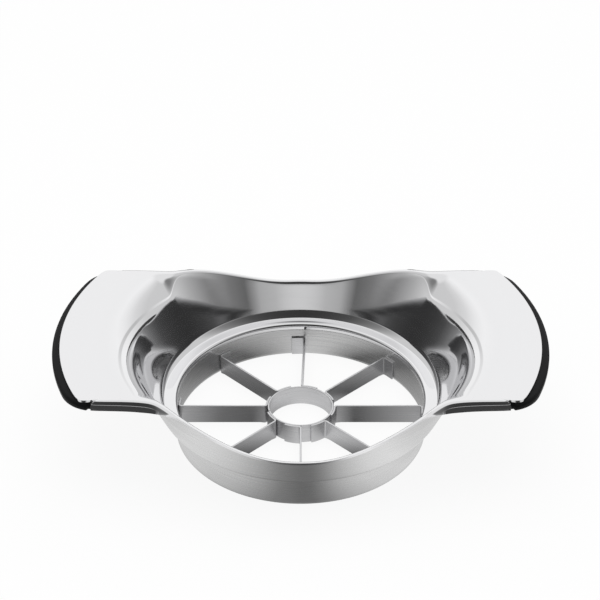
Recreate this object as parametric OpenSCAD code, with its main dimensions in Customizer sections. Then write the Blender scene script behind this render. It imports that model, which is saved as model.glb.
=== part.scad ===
// Apple slicer that is pushed down by hand.
// A cutting ring stands on the board. Eight blades run from it to a small core ring.
// A pressed steel bowl sits on the ring, and its sheet goes on into two wings to push on.
// Under the end of each wing lies a moulded grip.
// Z is up, X runs along the wings, and the origin is the middle of the ring's cutting edge.

/* [Cutting ring] */
// Inner diameter of the cutting ring
ring_d = 90; // [82:0.5:98]
// Wall of the cutting ring
ring_t = 0.9; // [0.7:0.1:1.4]
// Height of the cutting ring
ring_h = 11.5; // [10.5:0.1:16]
// Height of the ground bevel inside its lower edge
ring_bevel_h = 1.2; // [0.6:0.1:2]
// Width of the flat that is left at the cutting edge
ring_edge = 0.4; // [0.2:0.05:0.6]

/* [Core ring] */
// Outer diameter of the core ring
core_d = 24.2; // [18:0.1:30]
// Wall of the core ring
core_t = 0.6; // [0.4:0.1:1]
// Open seam where the rolled strip meets itself
core_seam = 0.2; // [0.1:0.05:0.5]
// Bearing of the seam, in degrees
core_seam_at = 195; // [190:1:196]

/* [Blades] */
// Thickness of a blade
blade_t = 0.7; // [0.5:0.05:1]
// Height of the blades and of the core ring
blade_h = 7.6; // [5:0.1:8.6]
// Height of the blades' lower edge above the board
blade_lift = 0.4; // [0:0.1:1]
// Height of the ground edge of a blade
blade_bevel_h = 1.2; // [0.6:0.1:2]
// Width of the flat that is left at a blade's edge
blade_edge = 0.2; // [0.1:0.05:0.4]
// Length of the welded tab against the cutting ring
outer_tab = 5; // [3:0.1:8]
// Length of the welded tab against the core ring
inner_tab = 6; // [3:0.1:6.5]
// Inside radius of a tab's bend
bend_r = 0.6; // [0.3:0.05:1]
// Gap left for the weld between a tab and a ring
weld_gap = 0.05; // [0.02:0.01:0.15]

/* [Pressed shell] */
// Thickness of the pressed sheet
sheet_t = 0.8; // [0.6:0.05:1]
// Height of the collar's straight part, which stands on the cutting ring
collar_h = 1.05; // [0.6:0.05:3]
// Gap between the collar and the cutting ring's top
collar_gap = 0.05; // [0.02:0.01:0.15]
// Bend radius from the collar to the ledge, on the upper face
collar_r = 1.2; // [1.1:0.1:2]
// Width of the flat ledge around the collar
ledge_w = 3.1; // [1.5:0.1:4]
// Radius from the ledge up into the bowl's wall, on the upper face
bowl_r = 0.7; // [0.5:0.1:2]
// Extra lean with which the wall leaves that radius, in degrees
foot_lean = 22; // [4:1:26]
// Radius with which the wall's foot then curves up into the straight wall
foot_r = 8; // [4:0.5:30]
// Lean of the bowl's wall from upright at the front and back, in degrees
flare_front = 22.7; // [18:0.1:30]
// Lean of the bowl's wall from upright at the wings, in degrees
flare_side = 24.7; // [18:0.1:30]
// Height of the rim at the front and back
rim_z = 26.9; // [24:0.1:32]
// Height of the wings' upper face
wing_z = 40.9; // [37:0.1:46]
// Radius with which the wall turns over at the rim
rim_roll = 1.5; // [1.2:0.1:2]
// Radius with which the wall rolls over into the wings
wing_roll = 14; // [8:0.5:16]

/* [Wings] */
// Radius of the wings' ends about the middle of the ring
wing_end_r = 85; // [80:0.5:100]
// Width of the wings across their turned-down sides
wing_w = 85.5; // [80:0.1:94]
// How sharp the wings' corners are: a larger exponent makes a smaller corner
corner_sharp = 38; // [24:1:80]
// Outer radius at the turned-down sides
side_r = 2; // [1.5:0.1:3]
// Height of the turned-down sides, radius included
side_h = 3.4; // [3.2:0.1:6]
// Bearing at which a wing starts to rise out of the rim, in degrees from the wing
rise_start = 86.7; // [80:0.1:89]
// Bearing at which a wing has reached its full height
rise_end = 32; // [28:1:40]
// Bearing at which the side has turned down fully
turn_full = 38.3; // [34:0.1:42]
// Bearing at which the side starts to turn down
turn_start = 51.4; // [46:0.1:64]
// Bearing near the corner at which the side is still turned down fully
corner_in = 31.4; // [31:0.1:33]
// Bearing at the corner where the turned-down side has ended
corner_out = 30.7; // [28:0.1:30.9]

/* [Grips] */
// Thickness of a grip
grip_t = 3; // [2.6:0.1:5]
// How far a grip shows past the steel at the wing's end
lip_w = 2.8; // [1.5:0.1:5]
// Gap between a grip and the steel above it
seat_gap = 0.2; // [0.1:0.05:0.4]
// Gap between a grip and the turned-down sides
side_gap = 0.2; // [0.1:0.05:0.5]
// Corner radius of the lip
lip_corner = 13; // [8:0.5:14]
// Rounding of the lip's edges
lip_round = 1.2; // [0.4:0.1:1.2]
// Radius about the middle of the ring at which a grip starts
grip_in_r = 73; // [72:0.5:76]

/* [Hidden] */
// Size of cutters and half-planes that only need to be larger than the part
far = 300;
// How far a cutter runs past a face
past = 1;

// Each blade has a name, a bearing, and the side to which its outer tab is bent
BLADES = [["blade_front", 270, -1], ["blade_front_right", 315, -1],
          ["blade_right", 0, -1], ["blade_back_right", 44, -1],
          ["blade_back", 88, 1], ["blade_back_left", 134, -1],
          ["blade_left", 180, -1], ["blade_front_left", 225, -1]];

ring_r = ring_d / 2;
core_r = core_d / 2;

// Upper face of the sheet, from the collar outwards. The collar stands in line with the ring's wall.
collar_in = ring_r + (ring_t - sheet_t) / 2;
collar_z = ring_h + collar_gap;
bend_c = [collar_in + collar_r, collar_z + collar_h];
ledge_z = bend_c[1] + collar_r;
bowl_c = [bend_c[0] + ledge_w, ledge_z + bowl_r];
wing_half = wing_w / 2;
// Straight length of the sheet's edge where it isn't turned down
edge_min = 0.3;
// Exponent of the soft corner where a wing leaves the rim
meet_sharp = 40;
// Exponent of the soft change from the rim's roll to the wings' roll
roll_sharp = 6;
// Part of the room beside the wall that a roll may take
roll_share = 0.95;
// Half the step in bearing over which the outline's slant is measured
slant_step = 0.5;

// Smooth step from 0 to 1
function ease(t) = (1 - cos(180 * min(1, max(0, t)))) / 2;
// The smaller, or the larger, of two lengths with a soft change between them
function soft_min(a, b, p) = pow(pow(a, -p) + pow(b, -p), -1 / p);
function soft_max(a, b, p) = pow(pow(a, p) + pow(b, p), 1 / p);
// Bearing folded into the first quarter, where 0 is the wing and 90 the front or back
function fold(a) = abs(asin(sin(a)));

// Height of the upper face at the sheet's outer edge
function top_z(a) = rim_z + (wing_z - rim_z) * ease((rise_start - fold(a)) / (rise_start - rise_end));
// Lean of the bowl's wall
function flare(a) = flare_front + (flare_side - flare_front) * pow(cos(a), 2);
// Middle of the curve between the fillet and the straight wall
function foot_c(a) =
    let (b = flare(a) + foot_lean)
    bowl_c - (foot_r - bowl_r) * [cos(b), -sin(b)];
// Point where the curve ends and the straight wall starts
function wall_foot(a) = foot_c(a) + foot_r * [cos(flare(a)), -sin(flare(a))];
// Radius of the bowl's wall at a height
function wall_r(a, z) = wall_foot(a)[0] + (z - wall_foot(a)[1]) * tan(flare(a));
// Tangent length of a roll from the wall to the level
function roll_reach(a, r) = r * tan((90 - flare(a)) / 2);

// Outline of a wing alone: an arc at the end and straight sides
function wing_r(a) = soft_min(wing_end_r, wing_half / max(0.01, sin(fold(a))), corner_sharp);
// Degrees by which the sheet's edge is turned down
function turn(a) =
    let (along_side = ease((turn_start - fold(a)) / (turn_start - turn_full)),
         at_corner = ease((fold(a) - corner_out) / (corner_in - corner_out)))
    90 * along_side * at_corner;
// Straight length of the sheet after the edge's turn
function hem(a) = edge_min + (side_h - side_r - edge_min) * turn(a) / 90;
// Radial reach of the turned edge, from the end of the level part
function edge_reach(a) = side_r * sin(turn(a)) + hem(a) * cos(turn(a));
// Outline where there is only the bowl's rim
function rim_r(a) = wall_r(a, top_z(a)) + roll_reach(a, rim_roll) + edge_reach(a);
// Outline of the whole sheet, with a soft corner where the wing leaves the rim
function outline(a) = soft_max(rim_r(a), wing_r(a), meet_sharp);
// Stretch of radial lengths where the outline runs at a slant to the bearing
function slant(a) =
    let (change = (outline(a + slant_step) - outline(a - slant_step)) / (2 * slant_step) * 180 / PI)
    sqrt(1 + pow(change / outline(a), 2));
// Radius of the roll at the top of the wall: as large as the wing leaves room for
function roll_room(a) = outline(a) - edge_reach(a) * slant(a) - wall_r(a, top_z(a));
function roll_r(a) =
    let (most = roll_share * roll_room(a) / tan((90 - flare(a)) / 2))
    soft_min(wing_roll, max(rim_roll, most), roll_sharp);

// Steps along an arc, from angle a0 to a1 about c
function arc(c, r, a0, a1, n) =
    [for (i = [0:n]) let (b = a0 + (a1 - a0) * i / n) [c + r * [cos(b), sin(b)], b]];
// The upper face of the sheet at one bearing: points, their normal's angle and their radial stretch
function face(a) =
    let (f = flare(a), z = top_z(a), r = roll_r(a), k = slant(a),
         roll_c = [wall_r(a, z) + roll_reach(a, r), z - r],
         flat_end = outline(a) - edge_reach(a) * k,
         t = turn(a), edge_c = [flat_end, z - side_r],
         foot = wall_foot(a), roll_start = roll_c + r * [-cos(f), sin(f)])
    concat(
        [[[collar_in, collar_z], 180, 1]],
        [for (p = arc(bend_c, collar_r, 180, 90, 4)) [p[0], p[1], 1]],
        [for (p = arc(bowl_c, bowl_r, 270, 360 - f - foot_lean, 3)) [p[0], p[1] - 180, 1]],
        [for (s = [1:3]) let (b = 360 - f - foot_lean + foot_lean * s / 3)
            [foot_c(a) + foot_r * [cos(b), sin(b)], b - 180, 1]],
        [[(foot + roll_start) / 2, 180 - f, 1]],
        [for (p = arc(roll_c, r, 180 - f, 90, 5)) [p[0], p[1], 1]],
        [for (s = [0:3]) let (b = 90 - t * s / 3)
            [edge_c + side_r * [k * cos(b), sin(b)], b, k]],
        [[edge_c + [k * (side_r * sin(t) + hem(a) * cos(t)), side_r * cos(t) - hem(a) * sin(t)], 90 - t, k]]);
// The lower face, one sheet thickness below along each point's normal
function back_face(a) =
    [for (q = face(a)) [q[0] - sheet_t * [q[2] * cos(q[1]), sin(q[1])], q[1], q[2]]];
function section(a) =
    let (top = face(a), low = back_face(a), n = len(top))
    concat([for (q = top) q[0]], [for (i = [n - 1:-1:0]) low[i][0]]);

// Bearings of the sections: close together at the corners of the wings
quarter = [each [0:4:24], 26, 27.5, each [28.6:0.7:33.5], 35, each [37:2.5:57], each [60:5:85]];
bearings = concat(quarter, [90], [for (i = [len(quarter) - 1:-1:1]) 180 - quarter[i]],
                  [for (b = quarter) 180 + b], [270],
                  [for (i = [len(quarter) - 1:-1:1]) 360 - quarter[i]]);

// Closed ring of sections around Z
module around(sections) {
    n = len(sections);
    m = len(sections[0]);
    points = [for (i = [0:n - 1]) for (p = sections[i])
        [p[0] * cos(bearings[i]), p[0] * sin(bearings[i]), p[1]]];
    faces = [for (i = [0:n - 1]) for (j = [0:m - 1])
        let (a = i * m + j, b = i * m + (j + 1) % m,
             c = ((i + 1) % n) * m + (j + 1) % m, d = ((i + 1) % n) * m + j)
        each [[a, b, c], [a, c, d]]];
    polyhedron(points, faces, convexity = 6);
}

module shell() {
    color("gainsboro") around([for (b = bearings) section(b)]);
}

module cutting_ring() {
    color("silver") rotate_extrude($fn = 180) polygon([
        [ring_r + ring_t - ring_edge, 0], [ring_r + ring_t, 0], [ring_r + ring_t, ring_h],
        [ring_r, ring_h], [ring_r, ring_bevel_h]]);
}

module core_ring() {
    color("silver") translate([0, 0, blade_lift]) difference() {
        cylinder(h = blade_h, r = core_r, $fn = 90);
        translate([0, 0, -past]) cylinder(h = blade_h + 2 * past, r = core_r - core_t, $fn = 90);
        rotate(core_seam_at) translate([core_r - 2 * core_t, -core_seam / 2, -past])
            cube([3 * core_t, core_seam, blade_h + 2 * past]);
    }
}

// Middle line of a blade's bent end, for a bend towards +Y: points with the normal on the left of
// the way outwards. The tab follows a circle of radius r, and the bend has a middle radius of b.
function tab_start(r, b, sign) = asin(b / (r + sign * b));
function outer_end(r, b, reach) =
    let (g = tab_start(r, b, -1), x = (r - b) * cos(g), span = reach / r * 180 / PI)
    concat([for (i = [0:4]) let (c = -90 + (90 + g) * i / 4) [x + b * cos(c), b + b * sin(c), c + 180]],
           [for (i = [1:6]) let (c = g + (span - g) * i / 6) [r * cos(c), r * sin(c), c + 180]]);
function inner_end(r, b, reach) =
    let (g = tab_start(r, b, 1), x = (r + b) * cos(g), span = reach / r * 180 / PI)
    concat([for (i = [0:5]) let (c = span + (g - span) * i / 6) [r * cos(c), r * sin(c), c]],
           [for (i = [0:4]) let (c = 180 + g + (90 - g) * i / 4) [x + b * cos(c), b + b * sin(c), c + 180]]);
// One side of the strip along a middle line, bent towards +Y or -Y
function strip_side(line, side, d) =
    [for (p = line) [p[0] + side * d * cos(p[2]), side * p[1] + d * sin(p[2])]];

module blade_plan(outer_side, inner_side) {
    mid_bend = bend_r + blade_t / 2;
    tip = inner_end(core_r + weld_gap + blade_t / 2, mid_bend, inner_tab);
    end = outer_end(ring_r - weld_gap - blade_t / 2, mid_bend, outer_tab);
    left = concat(strip_side(tip, inner_side, blade_t / 2), strip_side(end, outer_side, blade_t / 2));
    right = concat(strip_side(tip, inner_side, -blade_t / 2), strip_side(end, outer_side, -blade_t / 2));
    polygon(concat(left, [for (i = [len(right) - 1:-1:0]) right[i]]));
}

// One blade along +X: a straight strip on edge, ground below, with a bent tab at each end
module blade(outer_side, inner_side) {
    ground_in = core_r + weld_gap + 2 * blade_t + bend_r;
    ground_out = ring_r - weld_gap - 2 * blade_t - bend_r;
    translate([0, 0, blade_lift]) difference() {
        linear_extrude(blade_h) blade_plan(outer_side, inner_side);
        for (s = [-1, 1]) ground(s, ground_in, ground_out);
    }
}

// Cutter for one side of a blade's ground edge
module ground(s, x0, x1) {
    rotate([90, 0, 90]) translate([0, 0, x0]) linear_extrude(x1 - x0) polygon([
        [s * blade_edge / 2, -past], [s * blade_edge / 2, 0],
        [s * blade_t / 2, blade_bevel_h], [s * (blade_t / 2 + past), blade_bevel_h],
        [s * (blade_t / 2 + past), -past]]);
}

// Height and half width of a grip
grip_top = wing_z - sheet_t - seat_gap;
grip_side = wing_half - sheet_t - side_gap;
// The lip starts just past the end of the turned-down sides
lip_start = outline(corner_out) * cos(corner_out) + side_gap;
// Middle of the bend into a turned-down side, and the radius that a grip keeps inside it
side_bend = [wing_half - side_r, wing_z - side_r];
grip_bend_r = side_r - sheet_t - seat_gap;

// Plan of a grip and its lip, drawn in by an inset
module lip_plan(inset) {
    offset(lip_corner - inset) offset(-lip_corner) intersection() {
        circle(wing_end_r + lip_w, $fn = 128);
        translate([0, -wing_half]) square([far, wing_w]);
    }
}

// Section of the cut that keeps a grip clear of a turned-down side and its bend
module side_clearance() {
    translate([grip_side, -past]) square(far);
    translate(side_bend) difference() {
        square(far);
        circle(grip_bend_r, $fn = 40);
    }
}

// Grip on the +X side: a slab with rounded edges under the wing's end
module grip() {
    steps = 3;
    difference() {
        intersection() {
            translate([0, 0, grip_top - grip_t]) union() {
                for (i = [0:steps]) let (b = 90 * i / steps, inset = lip_round * (1 - cos(b)))
                    translate([0, 0, lip_round * (1 - sin(b))])
                        linear_extrude(grip_t - 2 * lip_round * (1 - sin(b))) lip_plan(inset);
            }
            translate([0, -far / 2, 0]) cube([far, far, far]);
        }
        cylinder(h = far, r = grip_in_r, $fn = 128);
        for (s = [0, 1]) mirror([0, s, 0]) rotate([90, 0, 90]) linear_extrude(lip_start) side_clearance();
    }
}

module grip_right() {
    color("#1c1c1e") grip();
}

module grip_left() {
    color("#1c1c1e") mirror([1, 0, 0]) grip();
}

shell();
cutting_ring();
core_ring();
for (b = BLADES) color("silver") rotate(b[1]) blade(b[2], -1);
grip_left();
grip_right();
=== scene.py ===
"""Apple slicer that is pushed down by hand, dressed around its packed construction model.

The bowl and wings are one steel blank pressed to shape, the rings and blades are bent steel strip,
and the grips are black mouldings. Each piece has its own operator, and main() runs them in order.
"""

import math

import bmesh
import bpy
from mathutils import Matrix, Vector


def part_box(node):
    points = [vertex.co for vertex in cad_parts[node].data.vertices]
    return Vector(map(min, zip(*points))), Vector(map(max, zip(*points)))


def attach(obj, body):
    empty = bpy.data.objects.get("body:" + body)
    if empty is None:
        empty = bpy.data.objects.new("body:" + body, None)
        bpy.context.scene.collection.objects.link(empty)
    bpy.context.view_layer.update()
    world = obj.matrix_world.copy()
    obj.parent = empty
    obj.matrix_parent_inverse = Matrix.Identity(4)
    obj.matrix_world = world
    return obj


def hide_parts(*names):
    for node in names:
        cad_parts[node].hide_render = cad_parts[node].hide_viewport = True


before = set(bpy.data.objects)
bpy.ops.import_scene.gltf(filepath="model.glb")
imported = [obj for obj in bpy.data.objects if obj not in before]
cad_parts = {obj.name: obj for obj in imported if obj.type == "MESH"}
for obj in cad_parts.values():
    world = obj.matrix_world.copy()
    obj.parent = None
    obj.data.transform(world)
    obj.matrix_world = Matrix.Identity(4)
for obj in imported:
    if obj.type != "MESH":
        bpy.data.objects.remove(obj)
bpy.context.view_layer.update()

bl_info = {
    "name": "Apple slicer",
    "version": (1, 0, 0),
    "blender": (4, 5, 0),
    "location": "3D View > Sidebar > Slicer",
    "description": "Builds a push-down apple slicer of pressed steel with moulded grips",
    "category": "Add Mesh",
}

BODY = "root"
MM = 0.001

RING_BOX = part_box("cutting_ring")
CORE_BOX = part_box("core_ring")
SHELL_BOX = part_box("shell")

# Each blade's node, its bearing in degrees, and the side to which its outer tab is bent
BLADES = (
    ("blade_front", 270, -1),
    ("blade_front_right", 315, -1),
    ("blade_right", 0, -1),
    ("blade_back_right", 44, -1),
    ("blade_back", 88, 1),
    ("blade_back_left", 134, -1),
    ("blade_left", 180, -1),
    ("blade_front_left", 225, -1),
)


# Properties ---------------------------------------------------------------------------------------


def length(name, description, metres):
    """A length that the user can change."""
    return bpy.props.FloatProperty(
        name=name,
        description=description,
        default=metres,
        subtype="DISTANCE",
        unit="LENGTH",
        precision=5,
    )


def angle(name, description, degrees):
    """An angle that the user can change."""
    return bpy.props.FloatProperty(
        name=name,
        description=description,
        default=math.radians(degrees),
        subtype="ANGLE",
        unit="ROTATION",
    )


def tint(name, description, rgb):
    """A colour that the user can change."""
    return bpy.props.FloatVectorProperty(
        name=name,
        description=description,
        default=rgb,
        subtype="COLOR",
        size=3,
        min=0,
        max=1,
    )


class SlicerShellSizes(bpy.types.PropertyGroup):
    """Sizes of the pressed bowl and wings"""

    sheet: length("Sheet", "Thickness of the pressed sheet", 0.8 * MM)
    collar_in: length("Collar radius", "Inner radius of the collar on the cutting ring", 45.05 * MM)
    collar_low: length("Collar bottom", "Height of the collar's lower edge", SHELL_BOX[0][2])
    collar_h: length("Collar height", "Height of the collar's straight part", 1.05 * MM)
    collar_r: length("Collar bend", "Bend radius from the collar to the ledge", 1.2 * MM)
    ledge: length("Ledge", "Width of the flat ledge", 3.1 * MM)
    bowl_r: length("Bowl fillet", "Radius from the ledge up into the wall", 0.7 * MM)
    foot_lean: angle("Foot lean", "Extra lean with which the wall leaves the fillet", 22)
    foot_r: length("Foot curve", "Radius with which the wall's foot curves up into it", 8 * MM)
    flare_front: angle("Front flare", "Lean of the wall at the front and back", 22.7)
    flare_side: angle("Side flare", "Lean of the wall at the wings", 24.7)
    rim_z: length("Rim height", "Height of the rim at the front and back", 26.9 * MM)
    wing_z: length("Wing height", "Height of the wings' upper face", SHELL_BOX[1][2])
    rim_roll: length("Rim roll", "Radius with which the wall turns over at the rim", 1.5 * MM)
    wing_roll: length("Wing roll", "Radius with which the wall rolls into the wings", 14 * MM)
    wing_end: length("Wing end", "Radius of the wings' ends about the middle", SHELL_BOX[1][0])
    wing_half: length("Half width", "Half the wings' width", 42.75 * MM)
    corner_sharp: bpy.props.FloatProperty(
        name="Corner sharpness",
        description="Exponent of the wings' corners: larger is sharper",
        default=38,
    )
    side_r: length("Side radius", "Outer radius at the turned-down sides", 2 * MM)
    side_h: length("Side height", "Height of the turned-down sides", 3.4 * MM)
    edge_round: length("Edge", "Rounding of the sheet's raw edge", 0.22 * MM)
    rise_start: angle("Rise start", "Bearing where a wing starts to rise out of the rim", 86.7)
    rise_end: angle("Rise end", "Bearing where a wing has its full height", 32)
    turn_start: angle("Turn start", "Bearing where the side starts to turn down", 51.4)
    turn_full: angle("Turn full", "Bearing where the side has turned down fully", 38.3)
    corner_in: angle("Corner in", "Bearing near the corner where the side is still down", 31.05)
    corner_out: angle("Corner out", "Bearing where the turned-down side has ended", 30.8)
    trim_end: angle("Trim end", "Bearing past the corner where the sheet is whole again", 29)
    trim: length("Trim", "How far the flat sheet is cut back where the side ends", 1.2 * MM)


class SlicerRingSizes(bpy.types.PropertyGroup):
    """Sizes of the two rings and the blades"""

    ring_r: length("Ring radius", "Inner radius of the cutting ring", 45 * MM)
    ring_t: length("Ring wall", "Wall of the cutting ring", 0.9 * MM)
    ring_h: length("Ring height", "Height of the cutting ring", RING_BOX[1][2])
    bevel_h: length("Ground edge", "Height of the ground edges", 1.2 * MM)
    ring_edge: length("Ring edge", "Width left at the ring's edge", 0.4 * MM)
    core_r: length("Core radius", "Outer radius of the core ring", CORE_BOX[1][0])
    core_t: length("Core wall", "Wall of the core ring", 0.6 * MM)
    seam: length("Seam", "Open seam of the core ring", 0.2 * MM)
    seam_at: angle("Seam bearing", "Bearing of the core ring's seam", 195)
    low: length("Blade bottom", "Height of the blades' lower edge", CORE_BOX[0][2])
    high: length("Blade top", "Height of the blades' upper edge", CORE_BOX[1][2])
    blade_t: length("Blade", "Thickness of a blade", 0.7 * MM)
    blade_edge: length("Blade edge", "Width left at a blade's ground edge", 0.2 * MM)
    bend_r: length("Bend", "Inside radius of the tabs' bends", 0.6 * MM)
    inner_tab: length("Inner tab", "Length of the tab on the core ring", 6 * MM)
    outer_tab: length("Outer tab", "Length of the tab on the cutting ring", 5 * MM)
    weld_gap: length("Weld gap", "Gap between a tab and its ring", 0.05 * MM)


class SlicerGripSizes(bpy.types.PropertyGroup):
    """Sizes of the moulded grips"""

    thick: length("Thickness", "Thickness of a grip", 3 * MM)
    gap: length("Seat gap", "Gap under the steel", 0.2 * MM)
    side_gap: length("Side gap", "Gap to the turned-down sides", 0.2 * MM)
    lip: length("Lip", "How far a grip shows past the steel", 2.8 * MM)
    corner: length("Corner", "Corner radius of the lip", 13 * MM)
    rounding: length("Rounding", "Rounding of the lip's edges", 1.2 * MM)
    inner_r: length("Inner end", "Radius at which a grip starts", 73 * MM)


class SlicerFinishes(bpy.types.PropertyGroup):
    """Colours of the finishes"""

    polished: tint("Polished steel", "Colour of the polished sheet", (0.86, 0.86, 0.87))
    satin: tint("Satin steel", "Colour of the satin steel", (0.75, 0.75, 0.75))
    ring: tint("Ring steel", "Colour of the cutting ring", (0.68, 0.68, 0.68))
    blade: tint("Blade steel", "Colour of the blades and the core ring", (0.68, 0.68, 0.69))
    grip: tint("Grip", "Colour of the grips", (0.006, 0.006, 0.0065))


# Mesh helpers -------------------------------------------------------------------------------------

ORIGIN = (0, 0, 0)
UPRIGHT = (0, 0, 1)
# Angles between faces above which an edge stays sharp in the mesh, and is rounded by the modifier
SHARP_ANGLE = 0.3
ROUNDED_ANGLE = math.radians(38)


def finish_mesh(bm, name, materials, slot, *nodes):
    """Makes a smooth piece of a bmesh. It rides on the body and takes its nodes' place."""
    mesh = bpy.data.meshes.new(name)
    bm.to_mesh(mesh)
    bm.free()
    mesh.shade_smooth()
    piece = bpy.data.objects.new(name, mesh)
    bpy.context.collection.objects.link(piece)
    for material in materials:
        mesh.materials.append(material)
    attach(piece, BODY)
    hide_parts(*nodes)
    return piece


def row(bm, points):
    """Vertices at the points, joined by edges in a row."""
    verts = [bm.verts.new(p) for p in points]
    edges = [bm.edges.new(pair) for pair in zip(verts, verts[1:])]
    return verts + edges


def spin(bm, geom, centre, turn, steps, full=False):
    """Spins the geometry about an upright axis and returns its last copy."""
    result = bmesh.ops.spin(
        bm,
        geom=geom,
        cent=centre,
        axis=UPRIGHT,
        angle=turn,
        steps=steps,
        use_merge=full,
        use_duplicate=False,
    )
    return result["geom_last"]


def rotate(bm, turn):
    """Turns the whole mesh about the Z axis."""
    bmesh.ops.rotate(bm, verts=bm.verts, cent=ORIGIN, matrix=Matrix.Rotation(turn, 3, "Z"))


def extrude(bm, geom, offset):
    """Extrudes edges by an offset and returns the new edge of the strip."""
    edges = [g for g in geom if isinstance(g, bmesh.types.BMEdge)]
    new = bmesh.ops.extrude_edge_only(bm, edges=edges)["geom"]
    verts = [g for g in new if isinstance(g, bmesh.types.BMVert)]
    bmesh.ops.translate(bm, vec=offset, verts=verts)
    new_edges = [g for g in new if isinstance(g, bmesh.types.BMEdge)]
    return verts + [edge for edge in new_edges if all(v in verts for v in edge.verts)]


def sharpen(bm):
    """Marks edges sharp where their faces meet at a larger angle."""
    for edge in bm.edges:
        edge.smooth = len(edge.link_faces) == 2 and edge.calc_face_angle(0) < SHARP_ANGLE


def add_bevel(piece, width):
    """A small rounding on every sharp edge."""
    bevel = piece.modifiers.new("edges", "BEVEL")
    bevel.width = width
    bevel.segments = 2
    bevel.limit_method = "ANGLE"
    bevel.angle_limit = ROUNDED_ANGLE
    bevel.harden_normals = True


# Node helpers -------------------------------------------------------------------------------------


def new_material(name):
    """A material with its node tree and its Principled shader."""
    material = bpy.data.materials.new(name)
    material.use_nodes = True
    return material, material.node_tree, material.node_tree.nodes["Principled BSDF"]


def add_node(tree, kind, **values):
    """A node with attributes and input values set."""
    node = tree.nodes.new(kind)
    for key, value in values.items():
        if hasattr(node, key):
            setattr(node, key, value)
        else:
            node.inputs[key.replace("_", " ")].default_value = value
    return node


def product(tree, a, b):
    """The product of two values, each a socket or a number."""
    node = add_node(tree, "ShaderNodeMath", operation="MULTIPLY")
    for socket, value in zip(node.inputs, (a, b)):
        if isinstance(value, (int, float)):
            socket.default_value = value
        else:
            tree.links.new(value, socket)
    return node.outputs[0]


def smooth_step(tree, value, start, end, low=0, high=1):
    """A smooth step of a value from one level to another."""
    node = add_node(tree, "ShaderNodeMapRange", interpolation_type="SMOOTHSTEP")
    for name, number in (("From Min", start), ("From Max", end), ("To Min", low), ("To Max", high)):
        node.inputs[name].default_value = number
    tree.links.new(value, node.inputs["Value"])
    return node.outputs[0]


def level_ramp(tree, value, stops):
    """Levels along a value: the stops are pairs of a place and the level there."""
    start, end = stops[0][0], stops[-1][0]
    place = add_node(tree, "ShaderNodeMapRange")
    place.inputs["From Min"].default_value = start
    place.inputs["From Max"].default_value = end
    tree.links.new(value, place.inputs["Value"])
    ramp = add_node(tree, "ShaderNodeValToRGB")
    elements = ramp.color_ramp.elements
    while len(elements) < len(stops):
        elements.new(0.5)
    for element, (at, level) in zip(elements, stops):
        element.position = (at - start) / (end - start)
        element.color = (level, level, level, 1)
    tree.links.new(place.outputs[0], ramp.inputs[0])
    return ramp.outputs["Color"]


def blend(tree, share, a, b):
    """A mix of two levels, each a socket or a number."""
    node = add_node(tree, "ShaderNodeMix")
    tree.links.new(share, node.inputs["Factor"])
    for name, value in (("A", a), ("B", b)):
        if isinstance(value, (int, float)):
            node.inputs[name].default_value = value
        else:
            tree.links.new(value, node.inputs[name])
    return node.outputs["Result"]


# Materials ----------------------------------------------------------------------------------------

# Range of the noise that is stretched over a whole change of roughness
NOISE_RANGE = (0.3, 0.7)
# Roughness of the polished sheet, where it is buffed best and least
POLISH = (0.03, 0.07)
# Roughness of the satin finishes, and how far their lines change it to each side
SHEET_ROUGHNESS = 0.3
RING_ROUGHNESS = 0.3
BLADE_ROUGHNESS = 0.32
LINES_CHANGE = 0.06
# The grips' roughness and weak gloss
GRIP_ROUGHNESS = 0.38
GRIP_GLOSS = 0.08
# How dense the noise is along X, Y and Z, per metre
BUFFING = (60, 60, 500)
WAVES = (45, 45, 45)
STRIP_LINES = (40, 40, 2200)
FINE_GRAIN = (1500, 1500, 1500)
# How strongly the noise bumps each finish
WAVES_BUMP = 0.05
LINES_BUMP = 0.02
GRAIN_BUMP = 0.02


def grain(tree, scale, detail=2.0):
    """Noise on the object's own coordinates, stretched along the axes where the scale is small."""
    place = add_node(tree, "ShaderNodeTexCoord")
    stretch = add_node(tree, "ShaderNodeMapping")
    stretch.inputs["Scale"].default_value = scale
    noise = add_node(tree, "ShaderNodeTexNoise", Scale=1.0, Detail=detail)
    tree.links.new(place.outputs["Object"], stretch.inputs["Vector"])
    tree.links.new(stretch.outputs[0], noise.inputs["Vector"])
    return noise.outputs["Fac"]


def add_bump(tree, shader, height, strength):
    """Bumps the shader's surface with a height of a millimetre at full strength."""
    bump = add_node(tree, "ShaderNodeBump", Strength=strength, Distance=MM)
    tree.links.new(height, bump.inputs["Height"])
    tree.links.new(bump.outputs["Normal"], shader.inputs["Normal"])


def polished_steel(finishes):
    """Mirror-polished sheet with faint buffing and a slight waviness of the pressing."""
    material, tree, shader = new_material("polished_steel")
    shader.inputs["Base Color"].default_value = (*finishes.polished, 1)
    shader.inputs["Metallic"].default_value = 1
    rough = smooth_step(tree, grain(tree, BUFFING), *NOISE_RANGE, *POLISH)
    tree.links.new(rough, shader.inputs["Roughness"])
    add_bump(tree, shader, grain(tree, WAVES, 1.0), WAVES_BUMP)
    return material


def satin_steel(name, colour, roughness):
    """Satin steel with fine lines along the strip."""
    material, tree, shader = new_material(name)
    shader.inputs["Base Color"].default_value = (*colour, 1)
    shader.inputs["Metallic"].default_value = 1
    lines = grain(tree, STRIP_LINES)
    change = (roughness - LINES_CHANGE, roughness + LINES_CHANGE)
    rough = smooth_step(tree, lines, *NOISE_RANGE, *change)
    tree.links.new(rough, shader.inputs["Roughness"])
    add_bump(tree, shader, lines, LINES_BUMP)
    return material


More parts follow.
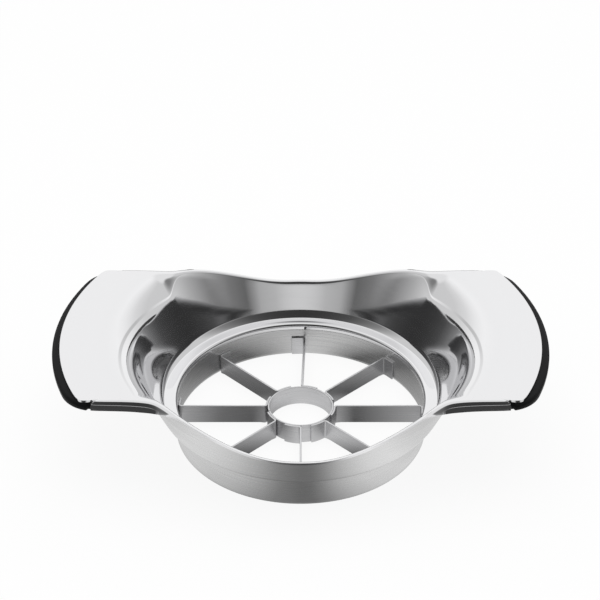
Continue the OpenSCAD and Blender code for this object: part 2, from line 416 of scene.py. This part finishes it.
def grip_plastic(finishes):
    """Smooth black moulded plastic with a very fine grain."""
    material, tree, shader = new_material("grip_plastic")
    shader.inputs["Base Color"].default_value = (*finishes.grip, 1)
    shader.inputs["Roughness"].default_value = GRIP_ROUGHNESS
    shader.inputs["Specular IOR Level"].default_value = GRIP_GLOSS
    add_bump(tree, shader, grain(tree, FINE_GRAIN), GRAIN_BUMP)
    return material


# Shape of the pressed sheet -----------------------------------------------------------------------


def ease(t):
    """Smooth step from 0 to 1."""
    return (1 - math.cos(math.pi * min(1, max(0, t)))) / 2


def soft_min(a, b, power):
    """The smaller of two lengths, with a soft change between them."""
    low = min(a, b)
    return low * ((a / low) ** -power + (b / low) ** -power) ** (-1 / power)


def soft_max(a, b, power):
    """The larger of two lengths, with a soft change between them."""
    high = max(a, b)
    return high * ((a / high) ** power + (b / high) ** power) ** (1 / power)


def fold(a):
    """Bearing folded into the first quarter: 0 is a wing and a quarter turn the front or back."""
    return abs(math.asin(math.sin(a)))


class PressedSheet:
    """The upper face of the pressed sheet, as a section at each bearing."""

    # Straight length of the sheet's edge where it isn't turned down
    EDGE_MIN = 0.3 * MM
    # Exponents of the soft corner where a wing leaves the rim, and of the change between the rolls
    MEET_SHARP = 40
    ROLL_SHARP = 6
    # Part of the room beside the wall that a roll may take
    ROLL_SHARE = 0.95
    # Half the step in bearing over which the outline's slant is measured
    SLANT_STEP = math.radians(0.5)
    # Least sine of a bearing, which keeps the straight sides' reach finite at the wings
    SINE_MIN = 0.01
    # Steps along each part of the section, from the collar outwards
    COLLAR_STEPS = 2
    BEND_STEPS = 6
    LEDGE_STEPS = 3
    FILLET_STEPS = 7
    FOOT_STEPS = 6
    WALL_STEPS = 8
    ROLL_STEPS = 24
    TURN_STEPS = 12
    # Steps along the roll, the level part and the turned edge after they are spaced anew
    OUTER_STEPS = 34

    def __init__(self, s):
        self.s = s
        self.bend = (s.collar_in + s.collar_r, s.collar_low + s.collar_h)
        self.ledge_z = self.bend[1] + s.collar_r
        self.bowl = (self.bend[0] + s.ledge, self.ledge_z + s.bowl_r)

    def top_z(self, a):
        """Height of the upper face at the sheet's outer edge."""
        s = self.s
        rise = ease((s.rise_start - fold(a)) / (s.rise_start - s.rise_end))
        return s.rim_z + (s.wing_z - s.rim_z) * rise

    def flare(self, a):
        """Lean of the bowl's wall from upright."""
        s = self.s
        return s.flare_front + (s.flare_side - s.flare_front) * math.cos(a) ** 2

    def foot(self, a):
        """Middle of the curve between the fillet and the straight wall."""
        s = self.s
        b = self.flare(a) + s.foot_lean
        back = s.foot_r - s.bowl_r
        return self.bowl[0] - back * math.cos(b), self.bowl[1] + back * math.sin(b)

    def wall_r(self, a, z):
        """Radius of the bowl's straight wall at a height."""
        f = self.flare(a)
        x, height = self.foot(a)
        rise = z - height + self.s.foot_r * math.sin(f)
        return x + self.s.foot_r * math.cos(f) + rise * math.tan(f)

    def roll_reach(self, a, r):
        """Tangent length of a roll from the wall to the level."""
        return r * math.tan((math.pi / 2 - self.flare(a)) / 2)

    def wing_r(self, a):
        """Outline of a wing alone: an arc at the end and straight sides."""
        s = self.s
        side = s.wing_half / max(self.SINE_MIN, math.sin(fold(a)))
        return soft_min(s.wing_end, side, s.corner_sharp)

    def turn(self, a):
        """Angle by which the sheet's edge is turned down."""
        s = self.s
        f = fold(a)
        full = ease((s.turn_start - f) / (s.turn_start - s.turn_full))
        return math.pi / 2 * full * self.turn_share(f)

    def turn_share(self, f):
        """Share of its turn that the side has near the corner."""
        return ease((f - self.s.corner_out) / (self.s.corner_in - self.s.corner_out))

    def hem(self, a):
        """Straight length of the sheet after the edge's turn."""
        full = self.s.side_h - self.s.side_r
        return self.EDGE_MIN + (full - self.EDGE_MIN) * self.turn(a) / (math.pi / 2)

    def edge_reach(self, a):
        """Radial reach of the turned edge, from the end of the level part."""
        t = self.turn(a)
        return self.s.side_r * math.sin(t) + self.hem(a) * math.cos(t)

    def outline(self, a):
        """Outline of the whole sheet, with a soft corner where the wing leaves the rim."""
        rim = self.wall_r(a, self.top_z(a)) + self.roll_reach(a, self.s.rim_roll)
        rim += self.edge_reach(a)
        return soft_max(rim, self.wing_r(a), self.MEET_SHARP)

    def slant(self, a):
        """Stretch of radial lengths where the outline runs at a slant to the bearing."""
        step = self.SLANT_STEP
        slope = (self.outline(a + step) - self.outline(a - step)) / (2 * step) / self.outline(a)
        return math.sqrt(1 + slope ** 2)

    def roll_r(self, a):
        """Radius of the roll at the top of the wall: as large as the wing leaves room for."""
        s = self.s
        reach = math.tan((math.pi / 2 - self.flare(a)) / 2)
        level_end = self.outline(a) - self.edge_reach(a) * self.slant(a)
        room = level_end - self.wall_r(a, self.top_z(a))
        most = self.ROLL_SHARE * room / reach
        return soft_min(s.wing_roll, max(s.rim_roll, most), self.ROLL_SHARP)

    def trimmed(self, a):
        """How far the flat sheet is cut back at the corner, along the bearing."""
        s, f = self.s, fold(a)
        share = ease((f - s.trim_end) / (s.corner_out - s.trim_end)) * (1 - self.turn_share(f))
        return s.trim * share * self.slant(a)

    def section(self, a):
        """Points (radius, height) from the collar's lower edge out to the sheet's raw edge."""
        s = self.s
        f, z, r = self.flare(a), self.top_z(a), self.roll_r(a)
        wall_turn = 2 * math.pi - f
        ledge = ((self.bend[0], self.ledge_z), (self.bowl[0], self.ledge_z))
        collar = ((s.collar_in, s.collar_low), (s.collar_in, self.bend[1]))
        points = along(*collar, self.COLLAR_STEPS)
        points += arc(self.bend, s.collar_r, math.pi, math.pi / 2, self.BEND_STEPS)[1:]
        points += along(*ledge, self.LEDGE_STEPS)[1:]
        foot_turn = wall_turn - s.foot_lean
        points += arc(self.bowl, s.bowl_r, 1.5 * math.pi, foot_turn, self.FILLET_STEPS)[1:]
        points += arc(self.foot(a), s.foot_r, foot_turn, wall_turn, self.FOOT_STEPS)[1:]
        roll = (self.wall_r(a, z) + self.roll_reach(a, r), z - r)
        start = (roll[0] - r * math.cos(f), roll[1] + r * math.sin(f))
        points += along(points[-1], start, self.WALL_STEPS)[1:]
        outer = arc(roll, r, math.pi - f, math.pi / 2, self.ROLL_STEPS) + self.turned_edge(a)
        return points + spread(outer, self.OUTER_STEPS)[1:]

    def turned_edge(self, a):
        """Points from the end of the level part, round the turned edge and down to its raw end."""
        r = self.s.side_r
        z, k, t, hem = self.top_z(a), self.slant(a), self.turn(a), self.hem(a)
        flat_end = self.outline(a) - self.edge_reach(a) * k - self.trimmed(a)
        points = []
        for i in range(self.TURN_STEPS + 1):
            b = t * i / self.TURN_STEPS
            points.append((flat_end + k * r * math.sin(b), z - r + r * math.cos(b)))
        last = points[-1]
        return points + [(last[0] + k * hem * math.cos(t), last[1] - hem * math.sin(t))]


# How much closer together the points of a spread line are towards its end: 1 is evenly spaced
CLOSER = 1.3


def spread(points, steps):
    """The same line with its points spaced anew, a little closer together towards its end."""
    places = [0]
    for (x0, z0), (x1, z1) in zip(points, points[1:]):
        places.append(places[-1] + math.hypot(x1 - x0, z1 - z0))
    result = []
    j = 0
    for i in range(steps + 1):
        place = places[-1] * (1 - (1 - i / steps) ** CLOSER)
        while j < len(points) - 2 and places[j + 1] < place:
            j += 1
        share = (place - places[j]) / max(1e-12, places[j + 1] - places[j])
        (x0, z0), (x1, z1) = points[j], points[j + 1]
        result.append((x0 + (x1 - x0) * share, z0 + (z1 - z0) * share))
    return result


def arc(centre, radius, start, end, steps):
    """Points along an arc."""
    turns = [start + (end - start) * i / steps for i in range(steps + 1)]
    return [(centre[0] + radius * math.cos(b), centre[1] + radius * math.sin(b)) for b in turns]


def along(a, b, steps):
    """Points along a straight line, both ends included."""
    run, rise = b[0] - a[0], b[1] - a[1]
    return [(a[0] + run * i / steps, a[1] + rise * i / steps) for i in range(steps + 1)]


# The blank is a flat disc of rings a millimetre apart, the first at this radius in millimetres
BLANK_FIRST = 10
# Its bearings crowd towards the wings' corners, which lie at this part of a quarter turn
BLANK_STEPS = 576
CORNER_AT = 0.445
CROWD = 4.2
# Decimals to which a bearing is taken when points are grouped by it
TURN_DECIMALS = 6


def crowded(turn):
    """A bearing of the blank, moved towards the nearest wing corner."""
    quarter = math.pi / 2
    index, part = divmod(turn % (2 * math.pi), quarter)
    part /= quarter
    if index % 2:
        part = 1 - part
    low = math.sinh(-CROWD * CORNER_AT)
    high = math.sinh(CROWD * (1 - CORNER_AT))
    moved = (math.sinh(CROWD * (part - CORNER_AT)) - low) / (high - low)
    if index % 2:
        moved = 1 - moved
    return (index + moved) * quarter


def press(bm, sheet):
    """Moves every point of the flat blank to its place on the pressed sheet."""
    sections = {}
    for vert in bm.verts:
        turn = round(math.atan2(vert.co.y, vert.co.x), TURN_DECIMALS)
        station = round(vert.co.length / MM) - BLANK_FIRST
        if turn not in sections:
            bearing = crowded(turn)
            sections[turn] = (bearing, sheet.section(bearing))
        bearing, section = sections[turn]
        radius, height = section[station]
        vert.co = (radius * math.cos(bearing), radius * math.sin(bearing), height)


# Operators ----------------------------------------------------------------------------------------


class SLICER_OT_stage(bpy.types.Operator):
    """Sets the camera, the floor, the lamp and the surroundings"""

    bl_idname = "slicer.stage"
    bl_label = "Stage"

    def execute(self, context):
        scene = context.scene
        scene.view_settings.view_transform = "Standard"
        add_camera(scene)
        add_floor(context)
        add_lamp(context)
        add_world(scene)
        return {"FINISHED"}


# The camera's place in metres, its tilt up from straight down in degrees, and its lens
CAMERA_AT = (-0.00024, -0.4453, 0.3396)
CAMERA_TILT = 57.33
CAMERA_LENS = 90.47


def add_camera(scene):
    """Camera at the photograph's viewing angle."""
    camera = bpy.data.cameras.new("camera")
    camera.lens = CAMERA_LENS
    camera.sensor_width = 36
    camera.clip_start = 0.01
    viewer = bpy.data.objects.new("camera", camera)
    viewer.location = CAMERA_AT
    viewer.rotation_euler = (math.radians(CAMERA_TILT), 0, 0)
    scene.collection.objects.link(viewer)
    scene.camera = viewer


# Gloss sees painted light and shade on the floor: a painted reflection, with the painted shadow of
# the bowl darkest in front of its middle. Every place on it is given in metres. This is the
# brightness in front of the object from left to right.
PAINTED_REFLECTION_FRONT = (
    (-0.06, 0.72), (-0.05, 0.88), (-0.04, 0.84), (-0.03, 0.70), (-0.02, 0.50), (-0.01, 0.28),
    (0, 0.19), (0.005, 0.20), (0.01, 0.30), (0.02, 0.62), (0.03, 0.86), (0.04, 0.95),
    (0.05, 0.80), (0.06, 0.70),
)
# Painted brightness that gloss sees further back, and where along Y it takes over
PAINTED_REFLECTION_BACK = 0.8
PAINTED_REFLECTION_BACK_FROM = (-0.03, 0)
# Painted light and shade that gloss sees inside the ring from left to right, and the radii between
# which it ends
PAINTED_REFLECTION_INSIDE = (
    (-0.045, 0.5), (-0.03, 0.2), (-0.018, 0.14), (-0.008, 0.5), (0, 0.8), (0.008, 0.7),
    (0.02, 0.12), (0.045, 0.5),
)
INSIDE_ENDS = (0.044, 0.047)
# Painted dark that gloss sees past the painted reflection, and where along Y the painted reflection
# starts and ends
PAINTED_DARK_BEYOND = 0.05
PAINTED_REFLECTION_STARTS = (-0.092, -0.084)
PAINTED_REFLECTION_ENDS = (0.06, 0.064)
# Share of plain white in what the camera sees of the floor. The rest keeps the shadow.
FLOOR_WHITE = 0.9


def add_floor(context):
    """Pale floor. It shows as white with a faint shadow, and gloss sees painted light and shade on
    it, with a painted shadow of the bowl.
    """
    bpy.ops.mesh.primitive_plane_add(size=6, location=ORIGIN)
    floor = context.object
    floor.name = "floor"
    material, tree, shader = new_material("pale_floor")
    shader.inputs["Base Color"].default_value = (0.9, 0.9, 0.9, 1)
    shader.inputs["Roughness"].default_value = 0.8
    shader.inputs["Specular IOR Level"].default_value = 0
    path = add_node(tree, "ShaderNodeLightPath")
    place = add_node(tree, "ShaderNodeTexCoord")
    split = add_node(tree, "ShaderNodeSeparateXYZ")
    reach = add_node(tree, "ShaderNodeVectorMath", operation="LENGTH")
    links = tree.links
    links.new(place.outputs["Object"], split.inputs[0])
    links.new(place.outputs["Object"], reach.inputs[0])
    x, y, radius = split.outputs["X"], split.outputs["Y"], reach.outputs["Value"]
    # Only gloss sees this glow: painted light and shade that stand in for the lit floor and the
    # bowl's shadow on it
    front = level_ramp(tree, x, PAINTED_REFLECTION_FRONT)
    painted_reflection = blend(tree, smooth_step(tree, y, *PAINTED_REFLECTION_BACK_FROM), front, PAINTED_REFLECTION_BACK)
    inside = level_ramp(tree, x, PAINTED_REFLECTION_INSIDE)
    painted_reflection = blend(tree, smooth_step(tree, radius, *INSIDE_ENDS), inside, painted_reflection)
    painted_reflection = blend(tree, smooth_step(tree, y, *PAINTED_REFLECTION_STARTS), PAINTED_DARK_BEYOND, painted_reflection)
    painted_reflection = blend(tree, smooth_step(tree, y, *PAINTED_REFLECTION_ENDS), painted_reflection, PAINTED_DARK_BEYOND)
    glow = add_node(tree, "ShaderNodeEmission")
    links.new(painted_reflection, glow.inputs["Strength"])
    white = add_node(tree, "ShaderNodeEmission")
    seen = add_node(tree, "ShaderNodeMixShader")
    shown = product(tree, path.outputs["Is Camera Ray"], FLOOR_WHITE)
    links.new(shown, seen.inputs["Fac"])
    links.new(shader.outputs[0], seen.inputs[1])
    links.new(white.outputs[0], seen.inputs[2])
    gloss = add_node(tree, "ShaderNodeMixShader")
    links.new(path.outputs["Is Glossy Ray"], gloss.inputs["Fac"])
    links.new(seen.outputs[0], gloss.inputs[1])
    links.new(glow.outputs[0], gloss.inputs[2])
    links.new(gloss.outputs[0], tree.nodes["Material Output"].inputs["Surface"])
    floor.data.materials.append(material)


def add_lamp(context):
    """One large soft lamp above, which gloss doesn't see."""
    lamp = bpy.data.lights.new("soft_top", "AREA")
    lamp.energy = 6
    lamp.size = 1.2
    light = bpy.data.objects.new("soft_top", lamp)
    light.location = (0, 0, 1.2)
    light.visible_glossy = False
    context.scene.collection.objects.link(light)


# Brightness that gloss sees around the object: -1 is behind the camera, 0 the sides, 1 the back.
# The first row is for a band a little above the horizon, and the second for all the rest.
STUDIO_BAND = (
    (-1, 0.66), (-0.95, 0.5), (-0.87, 0.43), (-0.83, 0.3), (-0.77, 0.14), (-0.64, 0.2),
    (-0.5, 0.32), (-0.31, 0.5), (-0.2, 0.65), (-0.05, 0.9), (0.07, 0.95), (0.2, 0.86),
    (0.34, 0.76), (0.5, 0.64), (0.67, 0.55), (0.81, 0.6), (0.91, 0.72), (0.98, 0.88), (1, 0.94),
)
STUDIO_REST = (
    (-1, 0.04), (-0.86, 0.06), (-0.75, 0.08), (-0.6, 0.14), (-0.4, 0.24), (-0.18, 0.45), (0, 0.66),
    (0.5, 0.67), (0.67, 0.77), (0.81, 0.92), (0.91, 1), (1, 0.97),
)
# Upward parts of the direction between which the band starts and ends
BAND_STARTS = (0.15, 0.18)
BAND_ENDS = (0.27, 0.24)
# Brightness straight above, and the upward and backward parts from which it is seen
STUDIO_ABOVE = 0.85
ABOVE_FROM = (0.78, 0.93)
ABOVE_BACK = (-0.2, -0.05)
# Strength of the surroundings as plain light on the object
AMBIENT = 0.75


def add_world(scene):
    """White surroundings. Gloss sees a studio that is bright behind the object and above it."""
    world = bpy.data.worlds.new("studio")
    world.use_nodes = True
    tree = world.node_tree
    place = add_node(tree, "ShaderNodeTexCoord")
    split = add_node(tree, "ShaderNodeSeparateXYZ")
    level = add_node(tree, "ShaderNodeVectorMath", operation="MULTIPLY")
    level.inputs[1].default_value = (1, 1, 0)
    compass = add_node(tree, "ShaderNodeVectorMath", operation="NORMALIZE")
    around = add_node(tree, "ShaderNodeSeparateXYZ")
    links = tree.links
    links.new(place.outputs["Generated"], split.inputs[0])
    links.new(place.outputs["Generated"], level.inputs[0])
    links.new(level.outputs[0], compass.inputs[0])
    links.new(compass.outputs[0], around.inputs[0])
    height = split.outputs["Z"]
    low = level_ramp(tree, around.outputs["Y"], STUDIO_BAND)
    high = level_ramp(tree, around.outputs["Y"], STUDIO_REST)
    started = smooth_step(tree, height, *BAND_STARTS)
    not_ended = smooth_step(tree, height, *BAND_ENDS)
    studio = blend(tree, product(tree, started, not_ended), high, low)
    upward = smooth_step(tree, height, *ABOVE_FROM)
    not_in_front = smooth_step(tree, split.outputs["Y"], *ABOVE_BACK)
    above = product(tree, upward, not_in_front)
    studio = blend(tree, above, studio, STUDIO_ABOVE)
    path = add_node(tree, "ShaderNodeLightPath")
    strength = blend(tree, path.outputs["Is Camera Ray"], AMBIENT, 1)
    strength = blend(tree, path.outputs["Is Glossy Ray"], strength, studio)
    links.new(strength, tree.nodes["Background"].inputs["Strength"])
    tree.nodes["Background"].inputs["Color"].default_value = (1, 1, 1, 1)
    scene.world = world


class SLICER_OT_shell(bpy.types.Operator):
    """Presses the bowl and the wings from a flat blank"""

    bl_idname = "slicer.shell"
    bl_label = "Bowl and wings"

    def execute(self, context):
        sizes = context.scene.slicer_shell
        finishes = context.scene.slicer_finishes
        sheet = PressedSheet(sizes)
        stations = len(sheet.section(0))
        bm = bmesh.new()
        blank = row(bm, [((BLANK_FIRST + i) * MM, 0, 0) for i in range(stations)])
        spin(bm, blank, ORIGIN, 2 * math.pi, BLANK_STEPS, full=True)
        press(bm, sheet)
        face_up(bm)
        polished = polished_steel(finishes)
        satin = satin_steel("satin_sheet", finishes.satin, SHEET_ROUGHNESS)
        shell = finish_mesh(bm, "bowl_and_wings", [polished, satin], "polished_steel", "shell")
        wall = shell.modifiers.new("sheet", "SOLIDIFY")
        wall.thickness = sizes.sheet
        wall.offset = -1
        wall.material_offset = 1
        wall.material_offset_rim = 0
        add_bevel(shell, sizes.edge_round)
        return {"FINISHED"}


def face_up(bm):
    """Turns the sheet's faces so that the wings' upper faces point up."""
    bmesh.ops.recalc_face_normals(bm, faces=bm.faces)
    wing = max(bm.faces, key=lambda face: face.normal.z ** 2)
    if wing.normal.z < 0:
        bmesh.ops.reverse_faces(bm, faces=bm.faces)


# Rounding of the rings' and the blades' edges
RING_ROUND = 0.1 * MM
BLADE_ROUND = 0.08 * MM
# Steps around the rings
RING_STEPS = 256
CORE_STEPS = 120


class SLICER_OT_rings(bpy.types.Operator):
    """Rolls the cutting ring and the core ring"""

    bl_idname = "slicer.rings"
    bl_label = "Rings"

    def execute(self, context):
        sizes = context.scene.slicer_rings
        finishes = context.scene.slicer_finishes
        steel = satin_steel("satin_ring", finishes.ring, RING_ROUGHNESS)
        bm = spun_ring(sizes)
        ring = finish_mesh(bm, "cutting_ring_band", [steel], "satin_ring", "cutting_ring")
        add_bevel(ring, RING_ROUND)
        steel = satin_steel("satin_core", finishes.blade, BLADE_ROUGHNESS)
        bm = rolled_core(sizes)
        core = finish_mesh(bm, "core_ring_strip", [steel], "satin_blade", "core_ring")
        add_bevel(core, RING_ROUND)
        return {"FINISHED"}


def spun_ring(s):
    """The cutting ring: a closed profile with a ground inner side, spun all round."""
    outer = s.ring_r + s.ring_t
    profile = [
        (outer - s.ring_edge, 0, 0),
        (outer, 0, 0),
        (outer, 0, s.ring_h),
        (s.ring_r, 0, s.ring_h),
        (s.ring_r, 0, s.bevel_h),
    ]
    bm = bmesh.new()
    geom = row(bm, profile)
    geom.append(bm.edges.new((geom[len(profile) - 1], geom[0])))
    spin(bm, geom, ORIGIN, 2 * math.pi, RING_STEPS, full=True)
    bmesh.ops.recalc_face_normals(bm, faces=bm.faces)
    sharpen(bm)
    return bm


def rolled_core(s):
    """The core ring: a strip's section, spun from one side of the open seam to the other."""
    half_seam = s.seam / 2 / s.core_r
    inner, outer = s.core_r - s.core_t, s.core_r
    bm = bmesh.new()
    corners = [(inner, 0, s.low), (outer, 0, s.low), (outer, 0, s.high), (inner, 0, s.high)]
    face = bm.faces.new([bm.verts.new(p) for p in corners])
    rotate(bm, s.seam_at + half_seam)
    section = [face, *face.edges, *face.verts]
    spin(bm, section, ORIGIN, 2 * math.pi - 2 * half_seam, CORE_STEPS)
    bmesh.ops.recalc_face_normals(bm, faces=bm.faces)
    sharpen(bm)
    return bm


# Steps along a tab and around its bend
TAB_STEPS = 10
TAB_BEND_STEPS = 6
# The straight strip's loops, as shares of its length, and where its ground edge starts and ends
STRIP_SHARES = (0.05, 0.9, 0.05)
GRIND_SHARE = 0.04
# Points closer than this are merged
MERGE = 1e-6


class SLICER_OT_blades(bpy.types.Operator):
    """Bends the blades from straight strip"""

    bl_idname = "slicer.blades"
    bl_label = "Blades"

    def execute(self, context):
        sizes = context.scene.slicer_rings
        finishes = context.scene.slicer_finishes
        steel = satin_steel("satin_blade", finishes.blade, BLADE_ROUGHNESS)
        for node, bearing, outer_side in BLADES:
            bm = bent_strip(sizes, outer_side, -1)
            rotate(bm, math.radians(bearing))
            blade = finish_mesh(bm, node + "_strip", [steel], "satin_blade", node)
            add_bevel(blade, BLADE_ROUND)
        return {"FINISHED"}


def bent_strip(s, outer_side, inner_side):
    """A blade along +X: its middle surface is bent step by step, then thickened and ground."""
    middle = s.bend_r + s.blade_t / 2
    inner_r = s.core_r + s.weld_gap + s.blade_t / 2
    outer_r = s.ring_r - s.weld_gap - s.blade_t / 2
    inner_start = math.asin(middle / (inner_r + middle))
    outer_start = math.asin(middle / (outer_r - middle))
    inner_bend = ((inner_r + middle) * math.cos(inner_start), inner_side * middle, 0)
    outer_bend = ((outer_r - middle) * math.cos(outer_start), outer_side * middle, 0)
    inner_span = s.inner_tab / inner_r
    outer_span = s.outer_tab / outer_r
    bm = bmesh.new()
    tip = inner_side * inner_span
    foot = (inner_r * math.cos(tip), inner_r * math.sin(tip))
    heights = (s.low, s.low + s.bevel_h, s.high)
    end = row(bm, [(*foot, z) for z in heights])
    end = spin(bm, end, ORIGIN, -inner_side * (inner_span - inner_start), TAB_STEPS)
    end = spin(bm, end, inner_bend, inner_side * (math.pi / 2 - inner_start), TAB_BEND_STEPS)
    strip = outer_bend[0] - inner_bend[0]
    for share in STRIP_SHARES:
        end = extrude(bm, end, (strip * share, 0, 0))
    end = spin(bm, end, outer_bend, outer_side * (math.pi / 2 + outer_start), TAB_BEND_STEPS)
    spin(bm, end, ORIGIN, outer_side * (outer_span - outer_start), TAB_STEPS)
    bmesh.ops.remove_doubles(bm, verts=bm.verts, dist=MERGE)
    bmesh.ops.recalc_face_normals(bm, faces=bm.faces)
    both_sides(bm, s.blade_t)
    unground = strip * GRIND_SHARE
    grind(bm, s, inner_bend[0] + unground, outer_bend[0] - unground)
    bmesh.ops.recalc_face_normals(bm, faces=bm.faces)
    sharpen(bm)
    return bm


def both_sides(bm, thickness):
    """Thickens a middle surface by half the thickness to each side."""
    bm.normal_update()
    for vert in bm.verts:
        vert.co -= vert.normal * thickness / 2
    bmesh.ops.solidify(bm, geom=bm.faces[:], thickness=-thickness)


def grind(bm, s, start, end):
    """Narrows the strip's lower edge between two places along it."""
    for vert in bm.verts:
        lower_edge = vert.co.z < s.low + s.bevel_h / 2
        if lower_edge and start < vert.co.x < end and abs(vert.co.y) < s.blade_t:
            vert.co.y *= s.blade_edge / s.blade_t


# Steps around a grip's rounded edges, along each corner and end of the lip, and its inner end
GRIP_ROUND_STEPS = 6
LIP_STEPS = 24
GRIP_END_STEPS = 40


class SLICER_OT_grips(bpy.types.Operator):
    """Moulds the two grips"""

    bl_idname = "slicer.grips"
    bl_label = "Grips"

    def execute(self, context):
        sizes = context.scene.slicer_grips
        shell = context.scene.slicer_shell
        plastic = grip_plastic(context.scene.slicer_finishes)
        for node, turned in (("grip_right", 0), ("grip_left", math.pi)):
            bm = moulded_grip(sizes, shell)
            rotate(bm, turned)
            finish_mesh(bm, node + "_moulding", [plastic], "grip_plastic", node)
        return {"FINISHED"}


def moulded_grip(s, shell):
    """The grip on the +X side: a flat plan, extruded down, with its edges rounded."""
    top = shell.wing_z - shell.sheet - s.gap
    bm = bmesh.new()
    plan = bm.faces.new([bm.verts.new((x, y, top)) for x, y in grip_plan(s, shell)])
    sides = bmesh.ops.extrude_face_region(bm, geom=[plan])["geom"]
    low = [g for g in sides if isinstance(g, bmesh.types.BMVert)]
    bmesh.ops.translate(bm, vec=(0, 0, -s.thick), verts=low)
    bmesh.ops.recalc_face_normals(bm, faces=bm.faces)
    rims = [edge for edge in bm.edges if edge.verts[0].co.z == edge.verts[1].co.z]
    bmesh.ops.bevel(
        bm,
        geom=rims,
        offset=s.rounding,
        offset_type="OFFSET",
        segments=GRIP_ROUND_STEPS,
        profile=0.5,
        affect="EDGES",
        material=-1,
    )
    narrow_under_wing(bm, s, shell)
    return bm


def narrow_under_wing(bm, s, shell):
    """Draws the grip in between the turned-down sides. The lip past them keeps its width."""
    corner = shell.corner_out
    lip_start = PressedSheet(shell).outline(corner) * math.cos(corner) + s.side_gap
    side = shell.wing_half - shell.sheet - s.side_gap
    for vert in bm.verts:
        if vert.co.x < lip_start:
            vert.co.y *= side / shell.wing_half


def grip_plan(s, shell):
    """Plan of the grip: an arc at each end, straight sides and round corners."""
    end_r = shell.wing_end + s.lip
    corner_y = shell.wing_half - s.corner
    corner_x = math.sqrt((end_r - s.corner) ** 2 - corner_y ** 2)
    last = math.atan2(corner_y, corner_x)
    inner = math.asin(shell.wing_half / s.inner_r)
    half = arc((corner_x, corner_y), s.corner, math.pi / 2, last, LIP_STEPS)
    half += arc(ORIGIN, end_r, last, 0, LIP_STEPS)[1:]
    mirrored = [(x, -y) for x, y in reversed(half[:-1])]
    return half + mirrored + arc(ORIGIN, s.inner_r, -inner, inner, GRIP_END_STEPS)


class SLICER_PT_panel(bpy.types.Panel):
    """Lists the slicer's pieces in the sidebar"""

    bl_label = "Slicer"
    bl_idname = "SLICER_PT_panel"
    bl_space_type = "VIEW_3D"
    bl_region_type = "UI"
    bl_category = "Slicer"

    def draw(self, context):
        for operator in OPERATORS:
            self.layout.operator(operator.bl_idname)


GROUPS = {
    "slicer_shell": SlicerShellSizes,
    "slicer_rings": SlicerRingSizes,
    "slicer_grips": SlicerGripSizes,
    "slicer_finishes": SlicerFinishes,
}
OPERATORS = (SLICER_OT_stage, SLICER_OT_shell, SLICER_OT_rings, SLICER_OT_blades, SLICER_OT_grips)


def register():
    for group in GROUPS.values():
        bpy.utils.register_class(group)
    for operator in OPERATORS:
        bpy.utils.register_class(operator)
    bpy.utils.register_class(SLICER_PT_panel)
    for name, group in GROUPS.items():
        setattr(bpy.types.Scene, name, bpy.props.PointerProperty(type=group))


def unregister():
    for name in GROUPS:
        delattr(bpy.types.Scene, name)
    bpy.utils.unregister_class(SLICER_PT_panel)
    for operator in reversed(OPERATORS):
        bpy.utils.unregister_class(operator)
    for group in reversed(GROUPS.values()):
        bpy.utils.unregister_class(group)


def main():
    register()
    bpy.ops.slicer.stage()
    bpy.ops.slicer.shell()
    bpy.ops.slicer.rings()
    bpy.ops.slicer.blades()
    bpy.ops.slicer.grips()


if __name__ == "__main__":
    main()
